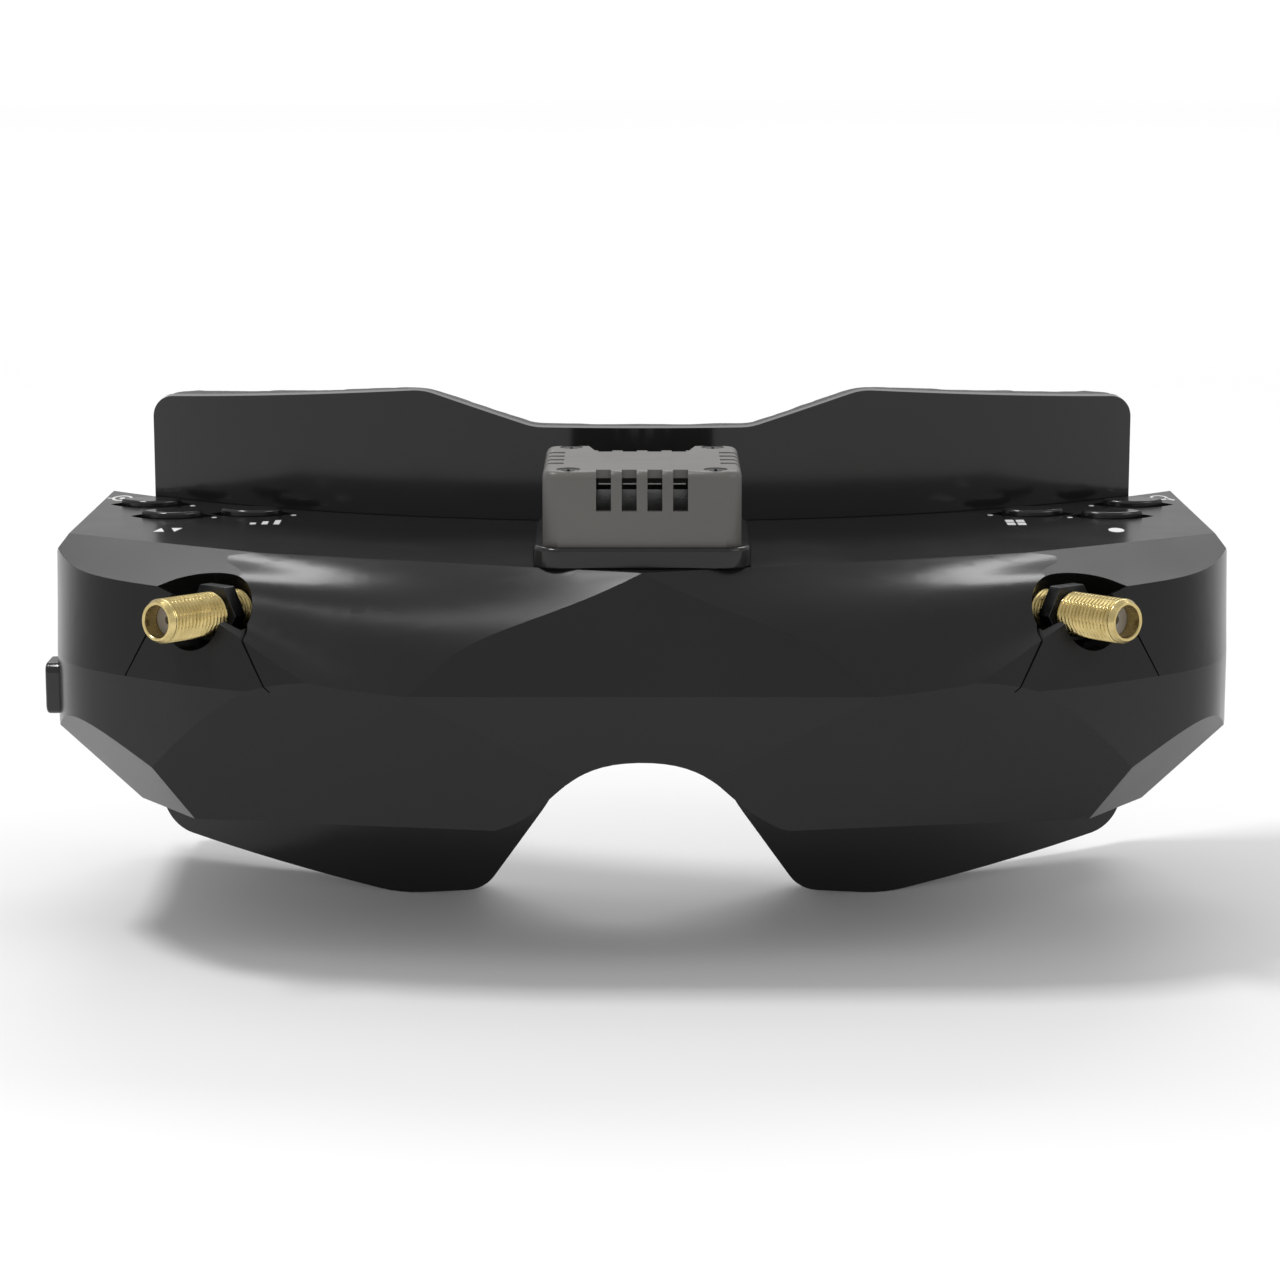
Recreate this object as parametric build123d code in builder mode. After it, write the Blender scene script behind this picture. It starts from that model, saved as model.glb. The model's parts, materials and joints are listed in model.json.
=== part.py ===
from build123d import *
import math
import os

# FPV goggles: a faceted two-shell housing, a curved faceplate with its foam pad, sliding
# optics, a plug-in receiver module on top, two antenna jacks and seven keys.
# +X is the wearer's left, -Y is the front, +Z is up. The origin is under the middle of the
# goggles, level with the faceplate's lowest points.

# ---- driving dimensions, mm ----------------------------------------------------------------
FRONT = -46.03  # Y of the housing's foremost edge
BELT = 43.68  # Z of the parting line between the two shells
WALL = 2.0  # shell wall
PART_GAP = 0.25  # gap along the parting line of the antenna tabs
TOP = 16.2  # flat top above the belt
FLOOR = 21.0  # flat underside below the belt
DEPTH = 87.0  # housing, front edge to rear corners
HALF_WIDTH = 87.0
LEAN = 3.7  # how far the front wall leans back over the height TOP

ARC_RADIUS = 130.0  # faceplate's front face, in plan
ARC_APEX = 53.4  # its foremost line, behind the housing's front edge
ARC_CENTRE = ARC_APEX + ARC_RADIUS
PLATE = 2.4  # faceplate thickness
FOAM = 8.0  # face pad thickness
SEAT_GAP = 0.25  # housing to faceplate

JACK_X = 63.8  # a point on the antenna jack's axis
JACK_BACK = 10.0
JACK_UP = 9.5
JACK_TURN = 37.0  # degrees outwards from straight ahead
JACK_TILT = 2.5  # degrees upwards
JACK_RADIUS = 3.175
JACK_NECK = 2.85  # behind the free length of its barrel
JACK_BORE = 2.3
JACK_HOLE = 4.8
JACK_WEB = -6.5  # front of the web that the jack's nut bears on, along its axis
JACK_WEB_DEPTH = 3.5
SCOOP_RADIUS = 7.7
SCOOP_END = -2.5  # centre of the scoop's round end, along the jack's axis

MODULE_WIDTH = 28.2
MODULE_DEPTH = 26.8
MODULE_FRONT = 11.6
MODULE_LOW = 19.2
MODULE_HIGH = 30.0
MODULE_WALL = 1.2
COLLAR_WIDTH = 31.0
COLLAR_DEPTH = 29.4
BAY_WIDTH = 25.0
BAY_DEPTH = 23.4
SLOT_WIDTH = 2.1
SLOT_PITCH = 3.62

EYE = 32.0  # half the distance between the eyepieces
EYE_UP = -1.0
BARREL_RADIUS = 11.6
BARREL_FRONT = 26.0
BARREL_REAR = 57.0
IPD_TRAVEL = 2.5
RAIL_BACK = (36.0, 42.0)
RAIL_UP = -15.2

KEY_LENGTH = 9.4
KEY_WIDTH = 4.8
KEY_PROUD = 0.9
KEY_GAP = 0.3
KEYS = {  # name, middle of the key as distance from the centre line and behind the front
    "track_button": (-77.0, 70.0),
    "channel_rocker": (-72.3, 58.4),
    "band_rocker": (-60.3, 60.6),
    "search_button": (77.0, 70.0),
    "record_button": (72.3, 58.4),
    "mode_rocker": (60.3, 60.6),
}
BOARD_UP = 9.0  # underside of the key boards
BOARD = 1.6

POWER_BACK = 36.6
POWER_UP = -5.8
POWER_WIDTH = 7.0
POWER_HEIGHT = 7.8
POWER_PROUD = 1.5

SCREW_POSTS = ((52.0, 24.0), (52.0, 56.0))
PLATE_SCREW_ANGLE = 29.5  # degrees round the faceplate's arc
PLATE_SCREW_UP = (-9.0, 5.5)

# The front wall in plan, from the end of the flat front to the straight side: distance from
# the centre line, distance behind the front, and the way the wall faces, in degrees.
WALL_POINTS = (
    (33.0, 0.0, 0),
    (52.6, 2.7, 15),
    (73.8, 14.6, 38),
    (83.6, 24.6, 58),
    (86.8, 35.0, 82),
    (HALF_WIDTH, 50.0, 90),
)

# Corners of the facets, as (from the centre line, behind the front, above the belt).
PEAK = (0, 7.5, TOP)  # top edge at the centre line
KNEE = (33, 0, 0)  # end of the flat front on the belt
BROW = (55.5, 24.5, TOP)  # where the top edge turns outwards
HORN = (85.7, 42.1, TOP)  # outer front corner of the top
CHEEK = (70, 16, 13.3)  # where the corner bevel meets the wall
NOSE = (11.9, 1.5, -11.2)
JOWL = (69, 12.5, -14.4)
JAW = (85.5, 32, -11.6)
JAW_LOW = (80, 30, -16)
JAW_REAR = (87.2, 50, -11)
SIDE_REAR = (84.9, 87, TOP)
SIDE_LOW = (87.2, 87, 11.6)
# The nose opening's flank: distance from the centre line, height, and lean of its normal.
ARCH_TOP = -9.7
ARCH_POINTS = ((6, -10.5, 15), (9.8, -12.4, 40), (13.9, -16.4, 46), (18.6, -20, 32), (26, -22.5, 17))
FLANK_END = (58, 8, 8.7)  # outer end of the crease between the flank and the wall
FLANK_OUT = (0.12, -0.6, 0.79)  # the way the flank faces
FLANK_CREST = 0.8  # puts the swell's crest a little below the middle
FLANK_SWELL = 1.9  # how far it swells near the antenna jack
FLANK_REACH = 1.08  # where the flank ends in the jack's scoop

os.makedirs("parts", exist_ok=True)


# ---- places and planes ------------------------------------------------------------------------
def at(x, back, up):
    """A point by its distances from the centre line, behind the front and above the belt."""
    return Vector(x, FRONT + back, BELT + up)


def plan(up):
    """A level plane whose local Y runs backwards from the front edge."""
    return Plane(origin=at(0, 0, up), x_dir=(1, 0, 0), z_dir=(0, 0, 1))


def facing_front(back):
    """An upright plane across the goggles, whose normal points to the front."""
    return Plane(origin=at(0, back, 0), x_dir=(1, 0, 0), z_dir=(0, -1, 0))


def facing_side(x):
    """An upright plane along the goggles, whose normal points to +X and local X backwards."""
    return Plane(origin=at(x, 0, 0), x_dir=(0, 1, 0), z_dir=(1, 0, 0))


def jack_plane(along):
    """A plane square to the +X antenna jack's axis, some way along it, facing outwards."""
    turn, tilt = math.radians(JACK_TURN), math.radians(JACK_TILT)
    axis = Vector(
        math.sin(turn) * math.cos(tilt), -math.cos(turn) * math.cos(tilt), math.sin(tilt)
    )
    across = (math.cos(turn), math.sin(turn), 0)
    return Plane(origin=at(JACK_X, JACK_BACK, JACK_UP) + axis * along, x_dir=across, z_dir=axis)


def arc_plane(angle, radius, up):
    """A plane tangent to the faceplate's arc, facing the wearer's face."""
    turn = math.radians(angle)
    inwards = Vector(-math.sin(turn), math.cos(turn), 0)
    origin = at(0, ARC_CENTRE, up) - inwards * radius
    return Plane(origin=origin, x_dir=(math.cos(turn), math.sin(turn), 0), z_dir=inwards)


def facet(inset, a, b, c):
    """The plane through three corners, moved inwards, with its normal pointing outwards."""
    a, b, c = at(*a), at(*b), at(*c)
    normal = (b - a).cross(c - a).normalized()
    if normal.dot(a - at(0, 50, 0)) < 0:
        normal = -normal
    return Plane(origin=a - normal * inset, z_dir=normal)


# ---- shared forms -----------------------------------------------------------------------------
def wall_line(inset, rise):
    """Half of the housing's plan outline, moved inwards, at a share of the lean's height."""
    spots = []
    for x, back, heading in WALL_POINTS:
        shift = inset + rise * LEAN * (1 - (heading / 90) ** 2)
        turn = math.radians(heading)
        spots.append((x - shift * math.sin(turn), back + shift * math.cos(turn)))
    first, last = spots[0], spots[-1]
    with BuildLine() as line:
        Line((0, first[1]), first)
        Spline(*spots, tangents=((1, 0), (0, 1)))
        Polyline(last, (last[0], DEPTH + 4), (0, DEPTH + 4), (0, first[1]))
    return line.line


def flank_cutter(inset):
    """What lies outside the swelling flank between the front, the belt and the top edge."""
    peak, knee, brow, end = at(*PEAK), at(*KNEE), at(*BROW), at(*FLANK_END)
    out = Vector(*FLANK_OUT)
    rows = []
    for along in (-0.3, 0, 0.25, 0.5, 0.75, 1, FLANK_REACH):
        upper = peak + (brow - peak) * along
        lower = knee + (end - knee) * along
        swell = FLANK_SWELL * (along + 0.3)
        row = []
        for step in range(-4, 15):
            share = step / 10
            hump = math.sin(math.pi * min(max(share, 0), 1) ** FLANK_CREST) ** 2
            row.append(lower + (upper - lower) * share + out * (hump * swell - inset))
        rows.append(row)
    return Solid.extrude(Face.make_surface_from_array_of_points(rows), out * 40)


def housing_form(inset):
    """The faceted outer form, or the same form moved inwards by a wall thickness."""
    with BuildPart() as half:
        with BuildSketch(plan(0)):
            make_face(wall_line(inset, 0))
        with BuildSketch(plan(TOP - inset)):
            make_face(wall_line(inset, 1))
        loft(ruled=True)
        with BuildSketch(plan(0)):
            make_face(wall_line(inset, 0))
        extrude(amount=inset - FLOOR)
        for corners in (
            (PEAK, KNEE, (-33, 0, 0)),
            (BROW, HORN, CHEEK),
            (HORN, SIDE_REAR, SIDE_LOW),
            (KNEE, NOSE, (-33, 0, 0)),
            (KNEE, JOWL, NOSE),
            (JOWL, JAW, JAW_LOW),
            (JAW, JAW_LOW, JAW_REAR),
        ):
            split(bisect_by=facet(inset, *corners), keep=Keep.BOTTOM)
        with BuildSketch(plan(-FLOOR - 1)):
            with Locations((0, ARC_CENTRE)):
                Circle(ARC_RADIUS + max(SEAT_GAP, inset + 0.6))
        extrude(amount=FLOOR + TOP + 2, mode=Mode.SUBTRACT)
        mirror(about=Plane.YZ)
        flank = flank_cutter(inset)
        add(flank, mode=Mode.SUBTRACT)
        mirror(flank, about=Plane.YZ, mode=Mode.SUBTRACT)
    return half.part


def arc_band(near, far, low, high):
    """A level band bent round the face, between two radii."""
    with BuildPart() as band:
        with BuildSketch(plan(low)):
            with Locations((0, ARC_CENTRE)):
                Circle(far)
                Circle(near, mode=Mode.SUBTRACT)
            with Locations((0, ARC_APEX + 20)):
                Rectangle(190, 70, mode=Mode.INTERSECT)
        extrude(amount=high - low)
    return band.part




def tube(plane, outer, inner, length):
    """A plain ring from a plane along its normal."""
    with BuildPart() as ring:
        with BuildSketch(plane):
            Circle(outer)
            Circle(inner, mode=Mode.SUBTRACT)
        extrude(amount=length)
    return ring.part


def rod(plane, radius, length):
    """A plain round bar from a plane along its normal."""
    with BuildPart() as bar:
        with BuildSketch(plane):
            Circle(radius)
        extrude(amount=length)
    return bar.part


def block(x, back, up, rounding=0.0):
    """A block between two distances along each axis, with rounded upright edges."""
    with BuildPart() as body:
        with BuildSketch(plan(up[0])):
            with Locations(((x[0] + x[1]) / 2, (back[0] + back[1]) / 2)):
                if rounding:
                    RectangleRounded(x[1] - x[0], back[1] - back[0], rounding)
                else:
                    Rectangle(x[1] - x[0], back[1] - back[0])
        extrude(amount=up[1] - up[0])
    return body.part


def mask_face(inset):
    """The faceplate's outline seen from the front, or the same drawn in by a margin."""
    right = (
        (16.5, 30.5, 9), (33.5, 35.8, 9), (77.6, 32.2, 3.6), (77.6, -37.4, 6), (38, -43.9, 24),
        (24.6, -42.4, 6), (15.2, -29, 16), (8.6, -18.2, 7),
    )
    corners = [(x, y) for x, y, _ in right]
    with BuildSketch() as face:
        Polygon(*corners, *[(-x, y) for x, y in reversed(corners)], align=None)
        for x, y, radius in right:
            for sign in (1, -1):
                fillet(face.vertices().sort_by_distance(Vector(sign * x, y, 0))[0], radius=radius)
        if inset:
            offset(amount=-inset, kind=Kind.INTERSECTION)
    return face.sketch


def arch_face(margin):
    """The bell-shaped opening over the nose, seen from the front."""
    flank = []
    for x, up, lean in ARCH_POINTS:
        turn = math.radians(lean)
        flank.append((x + margin * math.sin(turn), up + margin * math.cos(turn)))
    end_x, end_up = flank[-1]
    with BuildSketch() as face:
        with BuildLine():
            Spline(
                *[(-x, y) for x, y in reversed(flank)], (0, ARCH_TOP + margin), *flank,
                tangents=((1, 0.3), (1, -0.3)),
            )
            Polyline((end_x, end_up), (end_x, -30), (-end_x, -30), (-end_x, end_up))
        make_face()
    return face.sketch


def arch_prism(margin):
    """The nose opening from front to back."""
    with BuildPart() as prism:
        with BuildSketch(facing_front(-5)):
            add(arch_face(margin))
        extrude(amount=-75)
    return prism.part


def key_face(margin):
    """A key's boat-shaped outline."""
    half, wide = KEY_LENGTH / 2 + margin * 1.6, KEY_WIDTH / 2 + margin
    with BuildSketch() as face:
        with BuildLine():
            ThreePointArc((-half, 0), (0, wide), (half, 0))
            ThreePointArc((half, 0), (0, -wide), (-half, 0))
        make_face()
    return face.sketch


def key_prism(name, margin, low, high):
    """A key's outline drawn out between two heights."""
    x, back = KEYS[name]
    with BuildPart() as prism:
        with BuildSketch(Plane(origin=at(x, back, low))):
            add(key_face(margin))
        extrude(amount=high - low)
    return prism.part


def tab_prism(margin):
    """The prism that carries the parting line up and round the +X antenna jack."""
    low = -JACK_UP - 3
    with BuildPart() as prism:
        with BuildSketch(jack_plane(-13)):
            with BuildLine():
                Polyline(
                    (-13.3 - margin, low), (-13.3 - margin, -JACK_UP), (-6.8 - margin, margin),
                    (5.8 + margin, margin), (10.8 + margin, -JACK_UP), (10.8 + margin, low),
                    close=True,
                )
            make_face()
        extrude(amount=27)
    return prism.part


def scoop(radius):
    """A round-ended bar along the +X jack's axis, open to the front."""
    with BuildPart() as bar:
        with BuildSketch(jack_plane(SCOOP_END)):
            Circle(radius)
        extrude(amount=16)
        add(Sphere(radius, mode=Mode.PRIVATE).moved(Location(jack_plane(SCOOP_END).origin)))
    return bar.part


def both_sides(piece, mode):
    """Add or cut a +X piece and its mirror image."""
    add(piece, mode=mode)
    mirror(piece, about=Plane.YZ, mode=mode)


# ---- the two shells ---------------------------------------------------------------------------
OUTER = housing_form(0)
SOCKETS = {  # middle behind the front, width, height, depth
    "dc_jack": (50.5, 9.0, 9.0, 13.0),
    "av_jack": (60.2, 6.4, 6.4, 13.0),
    "hdmi_socket": (68.6, 7.4, 3.6, 9.0),
}
CARD = (60.0, 13.0, 2.6, 15.0)
SOCKET_UP = -5.6
PLAY = 0.15

with BuildPart() as cavity:
    add(housing_form(WALL))
    add(arch_prism(WALL), mode=Mode.SUBTRACT)
    both_sides(block((76.5, 95), (73.9, 95), (-30, 30)), Mode.SUBTRACT)

with BuildPart() as shell_stock:
    add(OUTER)
    add(cavity.part, mode=Mode.SUBTRACT)
    both_sides(OUTER & scoop(SCOOP_RADIUS + WALL), Mode.ADD)
    both_sides(OUTER & rod(jack_plane(JACK_WEB - JACK_WEB_DEPTH), JACK_HOLE + 1.2, 30), Mode.ADD)
    above_wall = split(scoop(SCOOP_RADIUS), bisect_by=facet(0, CHEEK, HORN, FLANK_END),
                       keep=Keep.BOTTOM, mode=Mode.PRIVATE)
    both_sides(above_wall, Mode.SUBTRACT)
    both_sides(rod(jack_plane(JACK_WEB), JACK_HOLE, 30), Mode.SUBTRACT)
    both_sides(rod(jack_plane(-20), JACK_NECK + 0.03, 30), Mode.SUBTRACT)
    flange_room = JACK_WEB - JACK_WEB_DEPTH
    both_sides(rod(jack_plane(flange_room - 8), JACK_HOLE + 0.1, 8), Mode.SUBTRACT)
    add(arch_prism(0), mode=Mode.SUBTRACT)
    window = block((-58, 58), (45, 80), (-16.6, 12.6)) - arch_prism(WALL)
    add(window, mode=Mode.SUBTRACT)
    for post_x, post_back in SCREW_POSTS:
        post = OUTER & rod(Plane(origin=at(post_x, post_back, -FLOOR)), 2.6, FLOOR + TOP)
        both_sides(post, Mode.ADD)
        both_sides(rod(Plane(origin=at(post_x, post_back, -FLOOR)), 0.82, 30), Mode.SUBTRACT)
    for screw_up in PLATE_SCREW_UP:
        plane = arc_plane(PLATE_SCREW_ANGLE, ARC_RADIUS + 9, screw_up)
        both_sides(rod(plane, 2.4, 8.5), Mode.ADD)
        both_sides(rod(plane, 0.82, 20), Mode.SUBTRACT)
    for post_x, post_back in ((60, 54.5), (81, 60)):
        both_sides(rod(Plane(origin=at(post_x, post_back, BOARD_UP + BOARD)), 1.4, 4.5), Mode.ADD)
    both_sides(OUTER & block((39, 41), (8, 16), (1, TOP)), Mode.ADD)
    both_sides(block((80.2, 95), (75.6, 95), (-9.5, 8.5)), Mode.SUBTRACT)
    both_sides(rod(Plane(origin=at(84, 80.6, -11)), 1.55, 21), Mode.SUBTRACT)

with BuildPart() as upper_shell:
    add(shell_stock.part)
    add(block((-95, 95), (-10, 100), (-30, 0)), mode=Mode.SUBTRACT)
    both_sides(tab_prism(PART_GAP), Mode.SUBTRACT)
    bay_low = MODULE_FRONT + (MODULE_DEPTH - BAY_DEPTH) / 2
    add(
        block((-BAY_WIDTH / 2, BAY_WIDTH / 2), (bay_low, bay_low + BAY_DEPTH), (5, 20), 1.5),
        mode=Mode.SUBTRACT,
    )
    for name in KEYS:
        add(key_prism(name, KEY_GAP, TOP - WALL - 1, TOP + 1), mode=Mode.SUBTRACT)
        add(key_prism(name, 1.1, TOP - 0.9, TOP + 1), mode=Mode.SUBTRACT)
    add(upper_shell.solids().sort_by(SortBy.VOLUME)[-1], mode=Mode.REPLACE)
upper_shell.part.label = "upper_shell"
export_step(upper_shell.part, "parts/upper_shell.step")

with BuildPart() as lower_shell:
    lower_zone = block((-95, 95), (-10, 100), (-30, 0)) + tab_prism(0) + mirror(
        tab_prism(0), about=Plane.YZ, mode=Mode.PRIVATE
    )
    add(shell_stock.part & lower_zone)
    for post_x, post_back in SCREW_POSTS:
        both_sides(rod(Plane(origin=at(post_x, post_back, -FLOOR)), 2.0, 1.6), Mode.SUBTRACT)
        both_sides(rod(Plane(origin=at(post_x, post_back, -FLOOR)), 1.1, 30), Mode.SUBTRACT)
    for rib in ((17.2, 19.4), (48.2, 50.4)):
        both_sides(block(rib, (33, 45), (-FLOOR + 1, -12.8)), Mode.ADD)
    for rail_back in RAIL_BACK:
        rail_hole = rod(Plane(origin=at(17.2, rail_back, RAIL_UP), z_dir=(1, 0, 0)), 1.22, 33.2)
        both_sides(rail_hole, Mode.SUBTRACT)
    neck_slot = block((EYE - 5.4, EYE + 5.4), (37, 41), (-FLOOR - 1, -FLOOR + 3))
    both_sides(neck_slot, Mode.SUBTRACT)
    for back, width, height, depth in SOCKETS.values():
        add(
            block(
                (70, 90), (back - width / 2 - PLAY, back + width / 2 + PLAY),
                (SOCKET_UP - height / 2 - PLAY, min(SOCKET_UP + height / 2 + PLAY, -0.6)),
            ),
            mode=Mode.SUBTRACT,
        )
    add(
        block((-90, -70), (CARD[0] - CARD[1] / 2 - PLAY, CARD[0] + CARD[1] / 2 + PLAY),
              (SOCKET_UP - CARD[2] / 2 - PLAY, SOCKET_UP + CARD[2] / 2 + PLAY)),
        mode=Mode.SUBTRACT,
    )
    with BuildSketch(facing_side(-92)):
        with Locations((POWER_BACK, POWER_UP)):
            RectangleRounded(POWER_WIDTH + 0.5, POWER_HEIGHT + 0.5, 1.8)
    extrude(amount=9, mode=Mode.SUBTRACT)
    add(lower_shell.solids().sort_by(SortBy.VOLUME)[-1], mode=Mode.REPLACE)
lower_shell.part.label = "lower_shell"
export_step(lower_shell.part, "parts/lower_shell.step")


# ---- faceplate, foam pad and rear panel -------------------------------------------------------
def eye_window(margin, face_on=facing_front(0)):
    """The +X eye window's outline, drawn through the faceplate."""
    with BuildPart() as window:
        with BuildSketch(face_on):
            with Locations((32.75, -0.75)):
                RectangleRounded(46.5 + margin, 24.5 + margin, 8)
        extrude(amount=-110)
    return window.part


with BuildPart() as faceplate:
    add(arc_band(ARC_RADIUS - PLATE, ARC_RADIUS, -50, 40))
    with BuildSketch(facing_front(0)):
        add(mask_face(0))
    extrude(amount=-110, mode=Mode.INTERSECT)
    both_sides(eye_window(0), Mode.SUBTRACT)
    for grille_up in (-2.0, 1.0, 4.0, 7.0):
        add(block((-5.5, 5.5), (40, 70), (grille_up, grille_up + 1.5)), mode=Mode.SUBTRACT)
    for screw_up in PLATE_SCREW_UP:
        both_sides(rod(arc_plane(PLATE_SCREW_ANGLE, ARC_RADIUS + 2, screw_up), 1.1, 9), Mode.SUBTRACT)
        head_seat = arc_plane(PLATE_SCREW_ANGLE, ARC_RADIUS - 1.2, screw_up)
        both_sides(rod(head_seat, 2.1, 6), Mode.SUBTRACT)
faceplate.part.label = "faceplate"
export_step(faceplate.part, "parts/faceplate.step")

with BuildPart() as face_foam:
    add(arc_band(ARC_RADIUS - PLATE - FOAM, ARC_RADIUS - PLATE - 0.02, -50, 40))
    with BuildSketch(facing_front(0)):
        add(mask_face(0.4))
    extrude(amount=-110, mode=Mode.INTERSECT)
    with BuildSketch(facing_front(0)):
        add(mask_face(8.4))
    extrude(amount=-110, mode=Mode.SUBTRACT)
face_foam.part.label = "face_foam"
export_step(face_foam.part, "parts/face_foam.step")

with BuildPart() as rear_panel:
    panel_arch = arch_prism(WALL + 0.3)
    add(arc_band(ARC_RADIUS + 0.3, ARC_RADIUS + 2.3, -16.3, 12.3))
    add(block((-57.7, 57.7), (40, 90), (-20, 20)), mode=Mode.INTERSECT)
    add(panel_arch, mode=Mode.SUBTRACT)
    with BuildSketch(facing_front(0)):
        with Locations((EYE, EYE_UP), (-EYE, EYE_UP)):
            SlotOverall(2 * (BARREL_RADIUS + IPD_TRAVEL + 0.5), 2 * (BARREL_RADIUS + 0.5))
    extrude(amount=-110, mode=Mode.SUBTRACT)
    for grille_up in (-2.0, 1.0, 4.0, 7.0):
        add(block((-5.5, 5.5), (40, 70), (grille_up, grille_up + 1.5)), mode=Mode.SUBTRACT)
rear_panel.part.label = "rear_panel"
export_step(rear_panel.part, "parts/rear_panel.step")

# ---- receiver module ----------------------------------------------------------------------------
MODULE_MIDDLE = MODULE_FRONT + MODULE_DEPTH / 2
MODULE_REAR = MODULE_FRONT + MODULE_DEPTH
MODULE_SCREWS = [(x, MODULE_MIDDLE + y) for x in (-10.4, 10.4) for y in (-11.2, 11.2)]
module_plane = Plane(origin=at(0, MODULE_MIDDLE, MODULE_LOW))

with BuildPart() as module_collar:
    with BuildSketch(Plane(origin=at(0, MODULE_MIDDLE, TOP))):
        RectangleRounded(COLLAR_WIDTH, COLLAR_DEPTH, 4)
        RectangleRounded(BAY_WIDTH, BAY_DEPTH, 1.5, mode=Mode.SUBTRACT)
    extrude(amount=MODULE_LOW - TOP)
    fillet(module_collar.faces().sort_by(Axis.Z)[-1].outer_wire().edges(), radius=0.5)
module_collar.part.label = "module_collar"
export_step(module_collar.part, "parts/module_collar.step")

with BuildPart() as module_cover:
    with BuildSketch(module_plane):
        RectangleRounded(MODULE_WIDTH, MODULE_DEPTH, 2.2)
    extrude(amount=MODULE_HIGH - MODULE_LOW)
    fillet(module_cover.faces().sort_by(Axis.Z)[-1].outer_wire().edges(), radius=1.1)
    with BuildSketch(module_plane):
        RectangleRounded(MODULE_WIDTH - 2 * MODULE_WALL, MODULE_DEPTH - 2 * MODULE_WALL, 1.2)
    extrude(amount=MODULE_HIGH - MODULE_LOW - MODULE_WALL, mode=Mode.SUBTRACT)
    for x, back in MODULE_SCREWS:
        add(rod(Plane(origin=at(x, back, MODULE_LOW + 1.5)), 2.0, MODULE_HIGH - MODULE_LOW - 2.2))
        add(rod(Plane(origin=at(x, back, MODULE_LOW)), 0.82, 9), mode=Mode.SUBTRACT)
        add(rod(Plane(origin=at(x, back, MODULE_HIGH - 1.0)), 1.7, 2), mode=Mode.SUBTRACT)
        add(rod(Plane(origin=at(x, back, MODULE_LOW + 5)), 1.05, 9), mode=Mode.SUBTRACT)
    valley_face = Plane(origin=at(0, MODULE_REAR, MODULE_HIGH - 0.8), x_dir=(1, 0, 0),
                        z_dir=(0, 0.8, 18.9))
    with BuildSketch(valley_face):
        Polygon((-7.4, 1), (7.4, 1), (4.4, -18), (-4.4, -18), align=None)
    extrude(amount=2, taper=-45, mode=Mode.SUBTRACT)
    for slot in range(4):
        x = (slot - 1.5) * SLOT_PITCH
        for slot_back in ((MODULE_FRONT - 1, MODULE_FRONT + 1.7), (MODULE_REAR - 1.7, MODULE_REAR + 1)):
            add(
                block((x - SLOT_WIDTH / 2, x + SLOT_WIDTH / 2), slot_back, (24.3, MODULE_HIGH + 1)),
                mode=Mode.SUBTRACT,
            )
    for groove in range(4):
        groove_back = MODULE_MIDDLE - 5.4 + groove * 3.6
        with BuildSketch(facing_side(11.2)):
            with Locations((groove_back, MODULE_HIGH + 0.1)):
                Circle(0.7)
        extrude(amount=5, mode=Mode.SUBTRACT)
        with BuildSketch(facing_side(-11.2)):
            with Locations((groove_back, MODULE_HIGH + 0.1)):
                Circle(0.7)
        extrude(amount=-5, mode=Mode.SUBTRACT)
        for side in (-1, 1):
            groove_foot = Plane(origin=at(side * (MODULE_WIDTH / 2 + 0.1), groove_back, 27.6))
            add(rod(groove_foot, 0.7, 4), mode=Mode.SUBTRACT)
module_cover.part.label = "module_cover"
export_step(module_cover.part, "parts/module_cover.step")

with BuildPart() as module_tray:
    with BuildSketch(Plane(origin=at(0, MODULE_MIDDLE, 16.8))):
        RectangleRounded(BAY_WIDTH - 0.4, BAY_DEPTH - 0.4, 1.4)
    extrude(amount=2.4)
    with BuildSketch(module_plane):
        RectangleRounded(MODULE_WIDTH - 2.8, MODULE_DEPTH - 2.8, 1.1)
    extrude(amount=1.2)
    for x, back in MODULE_SCREWS:
        add(rod(Plane(origin=at(x, back, 15)), 2.15, 8), mode=Mode.SUBTRACT)
    for x in (-8, 8):
        add(rod(Plane(origin=at(x, MODULE_MIDDLE, MODULE_LOW + 1.2)), 1.3, 1.0))
    add(block((-6.5, 6.5), (MODULE_MIDDLE + 6, MODULE_MIDDLE + 9), (15, 22)), mode=Mode.SUBTRACT)
module_tray.part.label = "module_tray"
export_step(module_tray.part, "parts/module_tray.step")

with BuildPart() as module_board:
    add(block((-12, 12), (MODULE_MIDDLE - 11.4, MODULE_MIDDLE + 11.4), (21.4, 22.6)))
    for x, back in MODULE_SCREWS:
        add(rod(Plane(origin=at(x, back, 15)), 2.15, 9), mode=Mode.SUBTRACT)
module_board.part.label = "module_board"
export_step(module_board.part, "parts/module_board.step")

with BuildPart() as module_shield:
    add(block((-7, 7), (MODULE_MIDDLE - 6, MODULE_MIDDLE + 4), (22.6, 24.8)))
    fillet(module_shield.edges().filter_by(Axis.Z), radius=0.6)
module_shield.part.label = "module_shield"
export_step(module_shield.part, "parts/module_shield.step")

PIN_PITCH = 2.0
pin_spots = [(-5 + PIN_PITCH * pin, MODULE_MIDDLE + 7.5) for pin in range(6)]
with BuildPart() as module_header:
    add(block((-6.2, 6.2), (MODULE_MIDDLE + 6.3, MODULE_MIDDLE + 8.7), (19.6, 21.4)))
    for x, back in pin_spots:
        add(block((x - 0.3, x + 0.3), (back - 0.3, back + 0.3), (13.0, 19.6)))
module_header.part.label = "module_header"
export_step(module_header.part, "parts/module_header.step")

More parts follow.
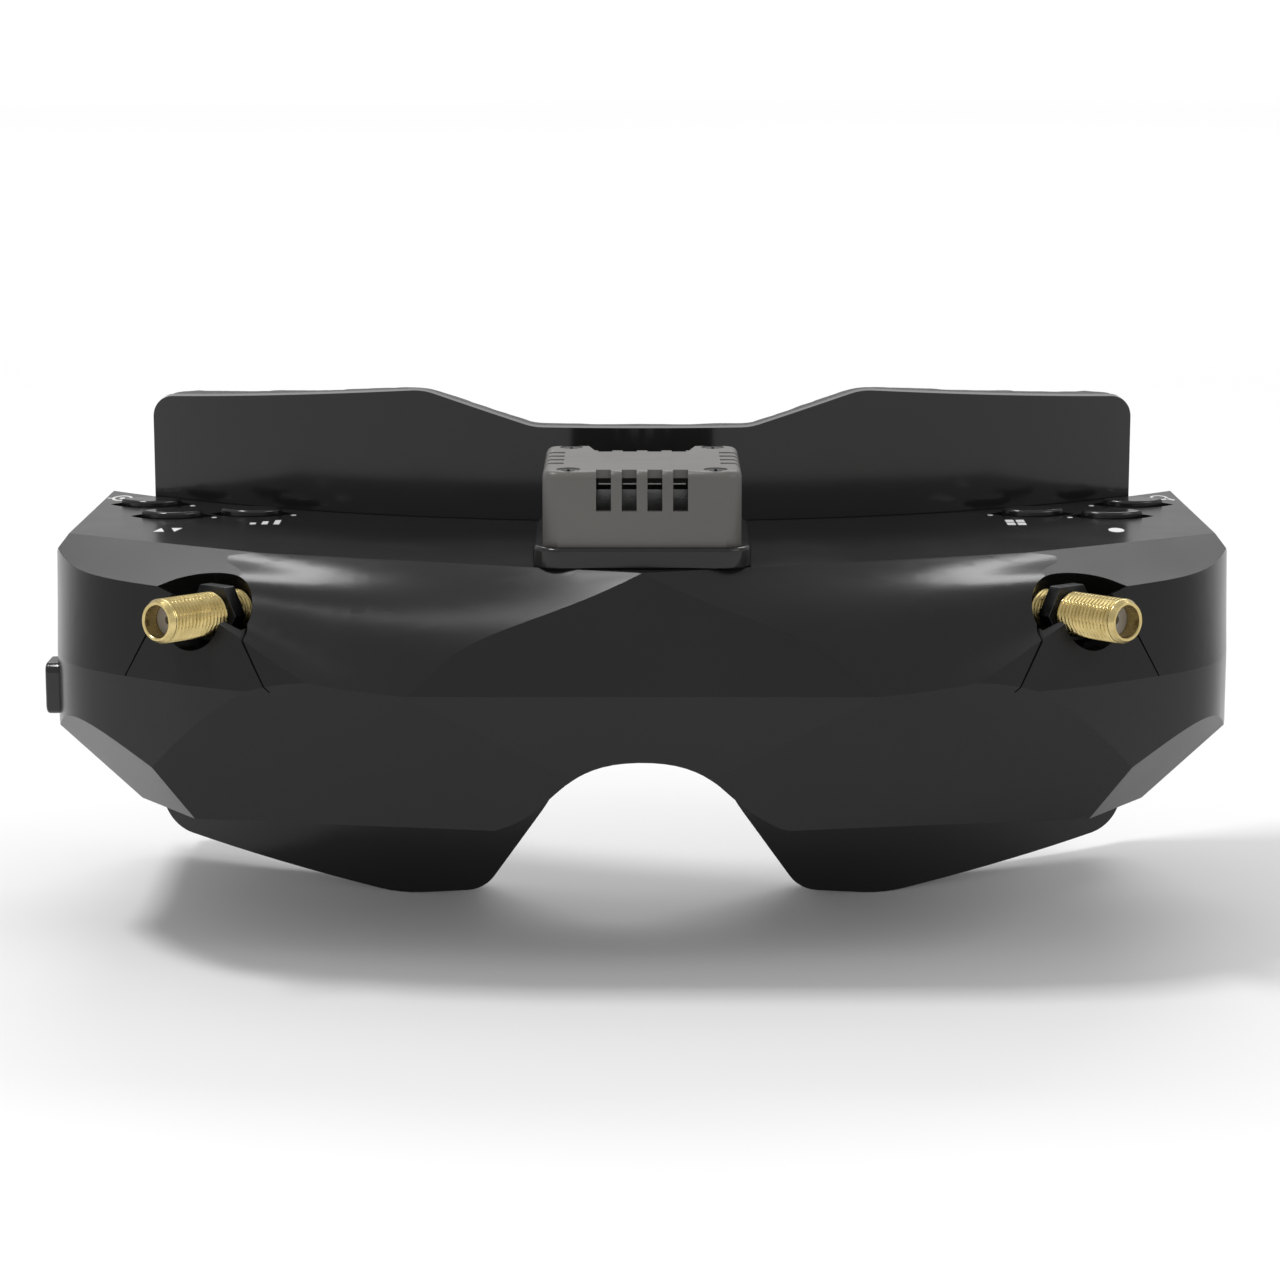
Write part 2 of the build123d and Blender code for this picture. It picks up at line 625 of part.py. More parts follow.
with BuildPart() as module_screws:
    for x, back in MODULE_SCREWS:
        add(rod(Plane(origin=at(x, back, MODULE_HIGH - 1.0)), 1.6, 0.85))
        add(rod(Plane(origin=at(x, back, MODULE_LOW + 2.5)), 0.8, MODULE_HIGH - MODULE_LOW - 3.5))
        with BuildSketch(Plane(origin=at(x, back, MODULE_HIGH - 0.15))):
            Rectangle(1.9, 0.4)
            Rectangle(0.4, 1.9)
        extrude(amount=-0.5, mode=Mode.SUBTRACT)
module_screws.part.label = "module_screws"
export_step(module_screws.part, "parts/module_screws.step")

with BuildPart() as bay_board:
    add(block((-17.2, 17.2), (MODULE_MIDDLE - 12, MODULE_MIDDLE + 12), (9.4, 11.0)))
bay_board.part.label = "bay_board"
export_step(bay_board.part, "parts/bay_board.step")

with BuildPart() as bay_socket:
    add(block((-6.6, 6.6), (MODULE_MIDDLE + 5.8, MODULE_MIDDLE + 9.2), (11.0, 14.8)))
    for x, back in pin_spots:
        add(block((x - 0.5, x + 0.5), (back - 0.5, back + 0.5), (12.2, 15)), mode=Mode.SUBTRACT)
bay_socket.part.label = "bay_socket"
export_step(bay_socket.part, "parts/bay_socket.step")

# ---- antenna jacks --------------------------------------------------------------------------------
JACK_TIP = 6.9  # end of the jack in front of the reference point, along its axis
JACK_CLEAR = -4.0  # rear end of the barrel's free length, just in front of the nut
JACK_SEAT = JACK_WEB - JACK_WEB_DEPTH
NUT_ACROSS_FLATS = 8.0

with BuildPart() as jack:
    with BuildSketch(jack_plane(JACK_SEAT - 2)):
        RegularPolygon(NUT_ACROSS_FLATS / 2, 6, major_radius=False)
    extrude(amount=2)
    add(rod(jack_plane(JACK_SEAT), JACK_NECK, JACK_CLEAR - JACK_SEAT))
    add(rod(jack_plane(JACK_CLEAR), JACK_RADIUS, JACK_TIP - JACK_CLEAR))
    add(rod(jack_plane(JACK_SEAT - 4), 2.0, 2.5))
    chamfer(jack.faces().sort_by_distance(jack_plane(JACK_TIP).origin)[0].outer_wire().edges(), 0.3)
    add(rod(jack_plane(JACK_TIP - 9), JACK_BORE, 12), mode=Mode.SUBTRACT)
    add(rod(jack_plane(JACK_SEAT - 5), 1.3, 14), mode=Mode.SUBTRACT)

with BuildPart() as nut:
    with BuildSketch(jack_plane(JACK_WEB)):
        RegularPolygon(NUT_ACROSS_FLATS / 2, 6, major_radius=False)
        Circle(JACK_NECK + 0.01, mode=Mode.SUBTRACT)
    extrude(amount=2.2)

with BuildPart() as insulator:
    add(tube(jack_plane(JACK_TIP - 8.9), JACK_BORE - 0.04, 0.68, 6.4))

with BuildPart() as contact:
    add(rod(jack_plane(JACK_SEAT - 5), 0.64, JACK_TIP - 3.0 - JACK_SEAT + 5))
    add(rod(jack_plane(JACK_TIP - 4.5), 0.4, 6), mode=Mode.SUBTRACT)

JACK_PIECES = (
    ("antenna_jack", jack), ("jack_nut", nut), ("jack_insulator", insulator), ("jack_contact", contact),
)
for name, right_hand in JACK_PIECES:
    for end in ("left", "right"):
        with BuildPart() as piece:
            if end == "left":
                add(right_hand.part)
            else:
                mirror(right_hand.part, about=Plane.YZ)
        piece.part.label = f"{name}_{end}"
        export_step(piece.part, f"parts/{name}_{end}.step")

# ---- keys and their boards ------------------------------------------------------------------------
SWITCH_UP = BOARD_UP + BOARD
for name in KEYS:
    x, back = KEYS[name]
    stems = (-3.1, 3.1) if "rocker" in name else (0,)
    with BuildPart() as key:
        add(key_prism(name, 0, 12.4, TOP + KEY_PROUD))
        fillet(key.faces().sort_by(Axis.Z)[-1].outer_wire().edges(), radius=0.45)
        add(key_prism(name, 0.7, 12.4, 13.4))
        for stem in stems:
            add(rod(Plane(origin=at(x + stem, back, SWITCH_UP + 1.15)), 0.9, 1.4))
    key.part.label = name
    export_step(key.part, f"parts/{name}.step")

with BuildPart() as key_switches:
    for name in KEYS:
        x, back = KEYS[name]
        stems = (-3.1, 3.1) if "rocker" in name else (0,)
        for stem in stems:
            add(block((x + stem - 1.6, x + stem + 1.6), (back - 1.6, back + 1.6), (SWITCH_UP, SWITCH_UP + 0.6)))
key_switches.part.label = "key_switches"
export_step(key_switches.part, "parts/key_switches.step")

with BuildPart() as board_form:
    add(block((55.4, 83), (51.5, 72.6), (BOARD_UP, BOARD_UP + BOARD)))
    with BuildSketch(plan(0)):
        with Locations((0, ARC_CENTRE)):
            Circle(ARC_RADIUS + 3.3)
    extrude(amount=20, mode=Mode.SUBTRACT)
for end in ("left", "right"):
    with BuildPart() as board:
        if end == "left":
            add(board_form.part)
        else:
            mirror(board_form.part, about=Plane.YZ)
    board.part.label = f"key_board_{end}"
    export_step(board.part, f"parts/key_board_{end}.step")

with BuildPart() as power_button:
    with BuildSketch(facing_side(-HALF_WIDTH - POWER_PROUD)):
        with Locations((POWER_BACK, POWER_UP)):
            RectangleRounded(POWER_WIDTH, POWER_HEIGHT, 1.5)
    extrude(amount=4.6)
    fillet(power_button.faces().sort_by(Axis.X)[0].outer_wire().edges(), radius=0.5)
    with BuildSketch(facing_side(-HALF_WIDTH - POWER_PROUD + 4.6)):
        with Locations((POWER_BACK, POWER_UP)):
            RectangleRounded(POWER_WIDTH + 1.2, POWER_HEIGHT + 1.2, 1.5)
    extrude(amount=0.8)
    with BuildSketch(facing_side(-HALF_WIDTH - POWER_PROUD + 5.4)):
        with Locations((POWER_BACK, POWER_UP)):
            Circle(1)
    extrude(amount=0.5)
power_button.part.label = "power_button"
export_step(power_button.part, "parts/power_button.step")

with BuildPart() as power_switch:
    add(block((-81.6, -79.4), (POWER_BACK - 2, POWER_BACK + 2), (POWER_UP - 2, POWER_UP + 2)))
    add(block((-79.4, -77.8), (POWER_BACK - 5, POWER_BACK + 6), (POWER_UP - 5, POWER_UP + 4.6)))
power_switch.part.label = "power_switch"
export_step(power_switch.part, "parts/power_switch.step")

# ---- optics -----------------------------------------------------------------------------------------
with BuildPart() as barrel:
    with BuildSketch(facing_front(BARREL_FRONT)):
        with Locations((EYE, EYE_UP)):
            Circle(BARREL_RADIUS)
    extrude(amount=BARREL_FRONT - BARREL_REAR)
    add(block((EYE - 5, EYE + 5), (33.5, 44.5), (RAIL_UP - 2.2, EYE_UP - 8)))
    add(block((EYE - 2.4, EYE + 2.4), (37.4, 40.6), (-FLOOR - 2, RAIL_UP - 2)))
    with BuildSketch(facing_front(BARREL_FRONT + 2)):
        with Locations((EYE, EYE_UP)):
            Circle(BARREL_RADIUS - 1.4)
    extrude(amount=BARREL_FRONT - BARREL_REAR, mode=Mode.SUBTRACT)
    with BuildSketch(facing_front(BARREL_FRONT - 1)):
        with Locations((EYE, EYE_UP)):
            Rectangle(16, 10)
    extrude(amount=-6, mode=Mode.SUBTRACT)
    for rail_back in RAIL_BACK:
        add(rod(Plane(origin=at(10, rail_back, RAIL_UP), z_dir=(1, 0, 0)), 1.25, 45), mode=Mode.SUBTRACT)

with BuildPart() as display:
    add(block((EYE - 10, EYE + 10), (BARREL_FRONT - 2.6, BARREL_FRONT), (EYE_UP - 7.5, EYE_UP + 7.5)))

with BuildPart() as lens:
    with BuildSketch(Plane.XY):
        with BuildLine():
            Polyline((0, 0), (0, 5.2))
            ThreePointArc((0, 5.2), (5.4, 4.4), (BARREL_RADIUS - 1.5, 1.6))
            Polyline((BARREL_RADIUS - 1.5, 1.6), (BARREL_RADIUS - 1.5, 0), (0, 0))
        make_face()
    revolve(axis=Axis.Y)
lens_spot = Location(at(EYE, BARREL_REAR - 6.9, EYE_UP))

with BuildPart() as ring:
    with BuildSketch(facing_front(BARREL_REAR - 1.4)):
        with Locations((EYE, EYE_UP)):
            Circle(BARREL_RADIUS - 1.44)
            Circle(BARREL_RADIUS - 3.0, mode=Mode.SUBTRACT)
    extrude(amount=-1.2)

with BuildPart() as knob:
    add(block((EYE - 8, EYE + 8), (34.5, 43.5), (-FLOOR - 2.2, -FLOOR - 0.3), 2))
    for ridge in range(5):
        ridge_x = EYE - 5 + 2.5 * ridge
        add(block((ridge_x - 0.5, ridge_x + 0.5), (30, 48), (-FLOOR - 3, -FLOOR - 1.7)), mode=Mode.SUBTRACT)
    add(block((EYE - 2.42, EYE + 2.42), (37.38, 40.62), (-FLOOR - 2, -FLOOR)), mode=Mode.SUBTRACT)

OPTICS = (
    ("optic_barrel", barrel.part), ("display_panel", display.part),
    ("eyepiece_lens", lens.part.moved(lens_spot)), ("lens_ring", ring.part), ("ipd_knob", knob.part),
)
for name, right_hand in OPTICS:
    for end in ("left", "right"):
        with BuildPart() as piece:
            if end == "left":
                add(right_hand)
            else:
                mirror(right_hand, about=Plane.YZ)
        piece.part.label = f"{name}_{end}"
        export_step(piece.part, f"parts/{name}_{end}.step")

with BuildPart() as ipd_rails:
    for rail_back in RAIL_BACK:
        both_sides(rod(Plane(origin=at(17.4, rail_back, RAIL_UP), z_dir=(1, 0, 0)), 1.2, 32.8), Mode.ADD)
ipd_rails.part.label = "ipd_rails"
export_step(ipd_rails.part, "parts/ipd_rails.step")

# ---- boards, fan and sockets --------------------------------------------------------------------------
with BuildPart() as main_board:
    add(block((-44, 44), (16, 17.6), (-7, 8.8)))
main_board.part.label = "main_board"
export_step(main_board.part, "parts/main_board.step")

with BuildPart() as main_chips:
    for x, width, height in ((-26, 14, 11), (0, 9, 9), (24, 12, 8)):
        add(block((x - width / 2, x + width / 2), (17.6, 19.0), (1 - height / 2, 1 + height / 2)))
main_chips.part.label = "main_chips"
export_step(main_chips.part, "parts/main_chips.step")

FAN_UP = 2.6
FAN_BACK = 45.4
FAN_RADIUS = 7.6
with BuildPart() as fan_frame:
    with BuildSketch(facing_front(FAN_BACK)):
        with Locations((0, FAN_UP)):
            RectangleRounded(17.6, 17.6, 2)
            Circle(FAN_RADIUS, mode=Mode.SUBTRACT)
    extrude(amount=-5)
    with BuildSketch(facing_front(FAN_BACK)):
        with Locations((0, FAN_UP)):
            Circle(3)
            Rectangle(17, 1.2)
    extrude(amount=-0.8)
    with BuildSketch(facing_front(FAN_BACK + 0.8)):
        with Locations((0, FAN_UP)):
            Circle(0.5)
    extrude(amount=-2.5)
fan_frame.part.label = "fan_frame"
export_step(fan_frame.part, "parts/fan_frame.step")

BLADES = 7
with BuildPart() as fan_rotor:
    with BuildSketch(facing_front(FAN_BACK + 1.1)):
        with Locations((0, FAN_UP)):
            Circle(3.2)
    extrude(amount=-3.4)
    for blade in range(BLADES):
        turn = blade * 2 * math.pi / BLADES
        radial = Vector(math.cos(turn), 0, math.sin(turn))
        around = Vector(-math.sin(turn), 0, math.cos(turn))
        root = at(0, FAN_BACK + 2.9, FAN_UP) + radial * 2.9
        with BuildSketch(Plane(origin=root, x_dir=Vector(0, 1, 0) + around * 0.9, z_dir=radial)):
            Rectangle(3.2, 0.6)
        extrude(amount=4.2)
    with BuildSketch(facing_front(FAN_BACK)):
        with Locations((0, FAN_UP)):
            Circle(0.55)
    extrude(amount=-3.6, mode=Mode.SUBTRACT)
fan_rotor.part.label = "fan_rotor"
export_step(fan_rotor.part, "parts/fan_rotor.step")


def socket_block(name):
    """A socket's body, flush with the side wall."""
    back, width, height, depth = SOCKETS[name]
    top_up = min(SOCKET_UP + height / 2, -0.75)
    return block(
        (HALF_WIDTH - 0.1 - depth, HALF_WIDTH - 0.1), (back - width / 2, back + width / 2),
        (SOCKET_UP - height / 2, top_up),
    )


def socket_hole(name, radius, depth):
    """A round hole from the side wall inwards."""
    spot = at(HALF_WIDTH + 0.1, SOCKETS[name][0], SOCKET_UP)
    return rod(Plane(origin=spot, z_dir=(-1, 0, 0)), radius, depth)


with BuildPart() as dc_jack:
    add(socket_block("dc_jack"))
    add(socket_hole("dc_jack", 2.85, 10), mode=Mode.SUBTRACT)
    add(socket_hole("dc_jack", 1.0, 12) - socket_hole("dc_jack", 2, 1.2))
dc_jack.part.label = "dc_jack"
export_step(dc_jack.part, "parts/dc_jack.step")

with BuildPart() as av_jack:
    add(socket_block("av_jack"))
    add(socket_hole("av_jack", 1.8, 11.2), mode=Mode.SUBTRACT)
av_jack.part.label = "av_jack"
export_step(av_jack.part, "parts/av_jack.step")

with BuildPart() as hdmi_socket:
    add(socket_block("hdmi_socket"))
    add(block((80.5, 90), (65.4, 71.8), (SOCKET_UP - 1.3, SOCKET_UP + 1.3)), mode=Mode.SUBTRACT)
    add(block((79, 85.6), (66.2, 71.0), (SOCKET_UP - 0.4, SOCKET_UP + 0.2)))
hdmi_socket.part.label = "hdmi_socket"
export_step(hdmi_socket.part, "parts/hdmi_socket.step")

with BuildPart() as card_socket:
    card_back, card_width, card_height, card_depth = CARD
    add(
        block(
            (-HALF_WIDTH + 0.1, -HALF_WIDTH + card_depth),
            (card_back - card_width / 2, card_back + card_width / 2),
            (SOCKET_UP - card_height / 2, SOCKET_UP + card_height / 2),
        )
    )
    add(
        block((-90, -HALF_WIDTH + card_depth - 2), (card_back - 5.7, card_back + 5.7),
              (SOCKET_UP - 0.55, SOCKET_UP + 0.55)),
        mode=Mode.SUBTRACT,
    )
card_socket.part.label = "card_socket"
export_step(card_socket.part, "parts/card_socket.step")

# ---- strap bars and screws ------------------------------------------------------------------------------
with BuildPart() as strap_bars:
    both_sides(rod(Plane(origin=at(84, 80.6, -10.9)), 1.5, 20.8), Mode.ADD)
strap_bars.part.label = "strap_bars"
export_step(strap_bars.part, "parts/strap_bars.step")

with BuildPart() as shell_screws:
    for post_x, post_back in SCREW_POSTS:
        for x in (-post_x, post_x):
            add(rod(Plane(origin=at(x, post_back, -FLOOR + 0.2)), 1.9, 1.3))
            add(rod(Plane(origin=at(x, post_back, -FLOOR + 1.5)), 0.8, 27))
            with BuildSketch(Plane(origin=at(x, post_back, -FLOOR + 0.2))):
                Rectangle(2.4, 0.5)
                Rectangle(0.5, 2.4)
            extrude(amount=0.7, mode=Mode.SUBTRACT)
shell_screws.part.label = "shell_screws"
export_step(shell_screws.part, "parts/shell_screws.step")

with BuildPart() as plate_screws:
    for screw_up in PLATE_SCREW_UP:
        both_sides(rod(arc_plane(PLATE_SCREW_ANGLE, ARC_RADIUS + 7, screw_up), 0.8, 8.2), Mode.ADD)
        head = rod(arc_plane(PLATE_SCREW_ANGLE, ARC_RADIUS - 1.2, screw_up), 2.0, 1.0)
        both_sides(head, Mode.ADD)
plate_screws.part.label = "plate_screws"
export_step(plate_screws.part, "parts/plate_screws.step")
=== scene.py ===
import json
import math

import bmesh
import bpy
from mathutils import Matrix, Vector


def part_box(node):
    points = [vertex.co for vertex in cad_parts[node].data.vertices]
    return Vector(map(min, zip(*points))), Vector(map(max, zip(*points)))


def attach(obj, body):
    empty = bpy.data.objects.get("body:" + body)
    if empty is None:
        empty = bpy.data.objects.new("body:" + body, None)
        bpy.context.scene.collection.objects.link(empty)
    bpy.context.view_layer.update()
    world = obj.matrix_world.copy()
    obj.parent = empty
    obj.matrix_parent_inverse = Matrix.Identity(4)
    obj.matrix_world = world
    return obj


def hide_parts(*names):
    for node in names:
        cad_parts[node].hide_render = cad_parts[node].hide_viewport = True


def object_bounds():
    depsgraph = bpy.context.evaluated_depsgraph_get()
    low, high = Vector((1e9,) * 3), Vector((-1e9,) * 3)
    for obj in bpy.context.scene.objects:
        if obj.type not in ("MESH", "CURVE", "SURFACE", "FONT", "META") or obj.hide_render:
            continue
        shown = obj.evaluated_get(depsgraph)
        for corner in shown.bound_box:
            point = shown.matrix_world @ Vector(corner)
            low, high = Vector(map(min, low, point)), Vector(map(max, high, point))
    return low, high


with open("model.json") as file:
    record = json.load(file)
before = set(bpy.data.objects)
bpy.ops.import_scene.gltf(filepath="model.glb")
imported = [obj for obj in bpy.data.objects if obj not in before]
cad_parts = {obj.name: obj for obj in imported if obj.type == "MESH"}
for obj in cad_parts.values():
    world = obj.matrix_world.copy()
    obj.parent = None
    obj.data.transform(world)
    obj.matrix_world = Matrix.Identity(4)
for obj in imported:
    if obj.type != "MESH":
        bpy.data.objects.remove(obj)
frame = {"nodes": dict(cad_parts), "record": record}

# FPV goggles. Metres; -Y is the front, +X the wearer's left, +Z up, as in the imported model.
CAD_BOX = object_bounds()
NODES = frame["nodes"]
MM = 0.001


# ---- materials ----------------------------------------------------------------------------------
class Shader:
    """A principled material with its texture nodes laid on object coordinates."""

    def __init__(self, name):
        self.material = bpy.data.materials.new(name)
        self.material.use_nodes = True
        self.tree = self.material.node_tree
        self.surface = self.tree.nodes["Principled BSDF"]
        self.place = self.node("ShaderNodeTexCoord").outputs["Object"]

    def node(self, kind, **settings):
        made = self.tree.nodes.new(kind)
        for key, value in settings.items():
            setattr(made, key, value)
        return made

    def link(self, source, target):
        self.tree.links.new(source, target)

    def noise(self, size, detail=2.0, stretch=None, roughness=0.5):
        """Noise whose patches are about size metres across."""
        texture = self.node("ShaderNodeTexNoise")
        texture.inputs["Scale"].default_value = 1 / size
        texture.inputs["Detail"].default_value = detail
        texture.inputs["Roughness"].default_value = roughness
        self.link(self.stretched(stretch), texture.inputs["Vector"])
        return texture.outputs["Fac"]

    def cells(self, size, feature="F1"):
        texture = self.node("ShaderNodeTexVoronoi", feature=feature)
        texture.inputs["Scale"].default_value = 1 / size
        self.link(self.place, texture.inputs["Vector"])
        return texture.outputs["Distance"]

    def stretched(self, stretch):
        if not stretch:
            return self.place
        mapping = self.node("ShaderNodeMapping")
        mapping.inputs["Scale"].default_value = stretch
        self.link(self.place, mapping.inputs["Vector"])
        return mapping.outputs["Vector"]

    def spread(self, value, low, high, start=0.3, end=0.7):
        """A value from start to end laid out between low and high."""
        ramp = self.node("ShaderNodeMapRange")
        ramp.inputs["From Min"].default_value = start
        ramp.inputs["From Max"].default_value = end
        ramp.inputs["To Min"].default_value = low
        ramp.inputs["To Max"].default_value = high
        self.link(value, ramp.inputs["Value"])
        return ramp.outputs["Result"]

    def colours(self, value, dark, light, start=0.3, end=0.7):
        ramp = self.node("ShaderNodeValToRGB")
        ramp.color_ramp.elements[0].position = start
        ramp.color_ramp.elements[0].color = (*dark, 1)
        ramp.color_ramp.elements[1].position = end
        ramp.color_ramp.elements[1].color = (*light, 1)
        self.link(value, ramp.inputs["Fac"])
        self.link(ramp.outputs["Color"], self.surface.inputs["Base Color"])

    def roughness(self, value, low, high):
        self.link(self.spread(value, low, high), self.surface.inputs["Roughness"])

    def bump(self, *layers):
        """Each layer is a height value, its strength and its depth in metres."""
        before = None
        for value, strength, depth in layers:
            bump = self.node("ShaderNodeBump")
            bump.inputs["Strength"].default_value = strength
            bump.inputs["Distance"].default_value = depth
            self.link(value, bump.inputs["Height"])
            if before:
                self.link(before, bump.inputs["Normal"])
            before = bump.outputs["Normal"]
        self.link(before, self.surface.inputs["Normal"])

    def fixed(self, **values):
        for key, value in values.items():
            self.surface.inputs[key.replace("_", " ")].default_value = value
        return self


def grey(level, warmth=0.0):
    return (level * (1 + warmth), level, level * (1 - warmth))


def plastic(name, level, gloss, grain=0.0, warmth=0.0, specular=0.5, coat=0.0):
    """Moulded plastic: gloss is the roughness range, grain the depth of its fine texture."""
    shader = Shader(name)
    patches = shader.noise(0.03, 3)
    shader.colours(patches, grey(level * 0.92, warmth), grey(level * 1.08, warmth))
    shader.roughness(shader.noise(0.012, 5), *gloss)
    layers = [(shader.noise(0.03, 1), 0.05, 0.0002)]
    if grain:
        layers.append((shader.noise(0.0005, 3), 0.3, grain))
    shader.bump(*layers)
    shader.fixed(IOR=1.5, Specular_IOR_Level=specular, Coat_Weight=coat, Coat_Roughness=0.08)
    return shader.material


def metal(name, dark, light, gloss, scratches=(1, 1, 8)):
    """Machined metal with fine turning marks."""
    shader = Shader(name)
    shader.colours(shader.noise(0.002, 3), dark, light)
    shader.roughness(shader.noise(0.0006, 4, scratches), *gloss)
    shader.bump((shader.noise(0.0002, 2, scratches), 0.15, 0.00003))
    shader.fixed(Metallic=1.0)
    return shader.material


def foam_material():
    shader = Shader("foam_fabric")
    pores = shader.cells(0.00055)
    shader.colours(pores, grey(0.006), grey(0.024), 0.1, 0.6)
    shader.fixed(Roughness=0.95, Sheen_Weight=0.25, Sheen_Roughness=0.6)
    shader.bump((pores, 0.8, 0.0003), (shader.noise(0.006, 3), 0.4, 0.0006))
    return shader.material


def glass_material():
    shader = Shader("lens_glass")
    shader.colours(shader.noise(0.02), (0.86, 0.93, 0.95), (0.95, 0.92, 0.97))
    shader.roughness(shader.noise(0.003, 3), 0.0, 0.02)
    shader.fixed(Transmission_Weight=1.0, IOR=1.5, Coat_Weight=0.6, Coat_Roughness=0.02)
    shader.surface.inputs["Coat Tint"].default_value = (0.55, 0.75, 1.0, 1)
    return shader.material


def board_material():
    shader = Shader("circuit_board")
    tracks = shader.node("ShaderNodeTexBrick")
    tracks.inputs["Scale"].default_value = 260
    tracks.inputs["Color1"].default_value = (0.006, 0.06, 0.02, 1)
    tracks.inputs["Color2"].default_value = (0.010, 0.09, 0.03, 1)
    tracks.inputs["Mortar"].default_value = (0.016, 0.13, 0.045, 1)
    shader.link(shader.place, tracks.inputs["Vector"])
    shader.link(tracks.outputs["Color"], shader.surface.inputs["Base Color"])
    shader.roughness(shader.noise(0.002, 3), 0.28, 0.42)
    shader.bump((tracks.outputs["Fac"], 0.3, 0.00005))
    return shader.material


SHELL = plastic("shell_plastic", 0.010, (0.21, 0.25), 0.000004, specular=0.29)
PLATE = plastic("plate_plastic", 0.013, (0.11, 0.14), specular=0.38)
COLLAR = plastic("collar_plastic", 0.010, (0.16, 0.20), specular=0.4)
MODULE = plastic("module_plastic", 0.095, (0.36, 0.46), 0.00002, 0.07)
KEY = plastic("key_plastic", 0.010, (0.12, 0.18))
INNER = plastic("barrel_plastic", 0.012, (0.42, 0.55), 0.00002)
CHIP = plastic("chip_plastic", 0.015, (0.4, 0.5), 0.00002)
# The PTFE_PAINTED_SHADE insulator is white; level 0.30 greys it with painted shade for the shadow deep in the
# jack's bore.
PTFE_PAINTED_SHADE = plastic("insulator_plastic_painted_shade", 0.30, (0.4, 0.5), warmth=0.08)
INK = plastic("marking_ink", 0.72, (0.45, 0.6))
BRASS = metal("gold_plated_brass", (0.52, 0.41, 0.17), (0.70, 0.56, 0.26), (0.18, 0.30))
BLACK_STEEL = metal("blackened_steel", (0.03, 0.03, 0.032), (0.06, 0.06, 0.06), (0.32, 0.48))
STEEL = metal("plain_steel", (0.42, 0.42, 0.43), (0.56, 0.56, 0.57), (0.22, 0.36))
TIN = metal("tinned_shield", (0.16, 0.16, 0.16), (0.24, 0.24, 0.235), (0.3, 0.45), (1, 1, 1))
FOAM = foam_material()
GLASS = glass_material()
BOARD = board_material()
SCREEN = plastic("display_glass", 0.006, (0.04, 0.08))

LOOKS = {
    SHELL: ("upper_shell", "lower_shell"),
    PLATE: ("faceplate",),
    COLLAR: ("module_collar", "rear_panel"),
    MODULE: ("module_cover", "module_tray"),
    KEY: (
        "track_button", "channel_rocker", "band_rocker", "search_button", "record_button",
        "mode_rocker", "power_button", "ipd_knob_left", "ipd_knob_right",
    ),
    INNER: (
        "optic_barrel_left", "optic_barrel_right", "lens_ring_left", "lens_ring_right",
        "fan_frame", "fan_rotor", "dc_jack", "av_jack", "bay_socket", "module_header",
    ),
    BRASS: ("jack_contact_left", "jack_contact_right"),
    BLACK_STEEL: (
        "jack_nut_left", "jack_nut_right", "module_screws", "shell_screws", "plate_screws",
    ),
    PTFE_PAINTED_SHADE: ("jack_insulator_left", "jack_insulator_right"),
    GLASS: ("eyepiece_lens_left", "eyepiece_lens_right"),
    SCREEN: ("display_panel_left", "display_panel_right"),
    BOARD: ("main_board", "bay_board", "module_board", "key_board_left", "key_board_right"),
    CHIP: ("main_chips", "key_switches", "power_switch"),
    STEEL: ("ipd_rails", "strap_bars", "hdmi_socket", "card_socket"),
    TIN: ("module_shield",),
}
for material, names in LOOKS.items():
    for name in names:
        mesh = NODES[name].data
        mesh.materials.clear()
        mesh.materials.append(material)

# ---- softened edges on the moulded pieces -----------------------------------------------------------
SOFT_EDGES = {  # edge radius in millimetres
    "module_collar": 0.3,
    "module_cover": 0.25, "track_button": 0.2, "channel_rocker": 0.2, "band_rocker": 0.2,
    "search_button": 0.2, "record_button": 0.2, "mode_rocker": 0.2, "power_button": 0.3,
    "ipd_knob_left": 0.2, "ipd_knob_right": 0.2, "jack_nut_left": 0.15, "jack_nut_right": 0.15,
    "rear_panel": 0.3, "optic_barrel_left": 0.2, "optic_barrel_right": 0.2,
    "lens_ring_left": 0.15, "lens_ring_right": 0.15, "dc_jack": 0.2, "av_jack": 0.2,
}
for name, radius in SOFT_EDGES.items():
    piece = NODES[name]
    weld = piece.modifiers.new("weld", "WELD")
    weld.merge_threshold = 0.000005
    bevel = piece.modifiers.new("edges", "BEVEL")
    bevel.width = radius * MM
    bevel.segments = 2
    bevel.limit_method = "ANGLE"
    bevel.angle_limit = math.radians(28)
    bevel.harden_normals = True
    bevel.use_clamp_overlap = True


def new_piece(name, form, material, body="housing"):
    """A finished bmesh as a piece that rides on a CAD body."""
    mesh = bpy.data.meshes.new(name)
    bmesh.ops.recalc_face_normals(form, faces=form.faces)
    form.to_mesh(mesh)
    form.free()
    mesh.materials.append(material)
    mesh.shade_smooth()
    mesh.set_sharp_from_angle(angle=math.radians(40))
    piece = bpy.data.objects.new(name, mesh)
    bpy.context.scene.collection.objects.link(piece)
    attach(piece, body)
    return piece


# ---- antenna jacks with their real threads ------------------------------------------------------------
MOUNTS = {mount["name"]: mount for mount in frame["record"]["mounts"]}
THREAD_PITCH = 0.706 * MM
THREAD_DEPTH = 0.42 * MM
BORE = 2.3 * MM
SIDES = 72


def ring_rows(form, rings):
    """Skins a run of vertex rings."""
    for near, far in zip(rings, rings[1:]):
        for side in range(SIDES):
            after = (side + 1) % SIDES
            form.faces.new((near[side], near[after], far[after], far[side]))


def ring(form, place, radius_at, along):
    made = []
    for side in range(SIDES):
        turn = 2 * math.pi * side / SIDES
        radius = radius_at(along, turn)
        spot = Vector((radius * math.cos(turn), radius * math.sin(turn), along))
        made.append(form.verts.new(place @ spot))
    return made


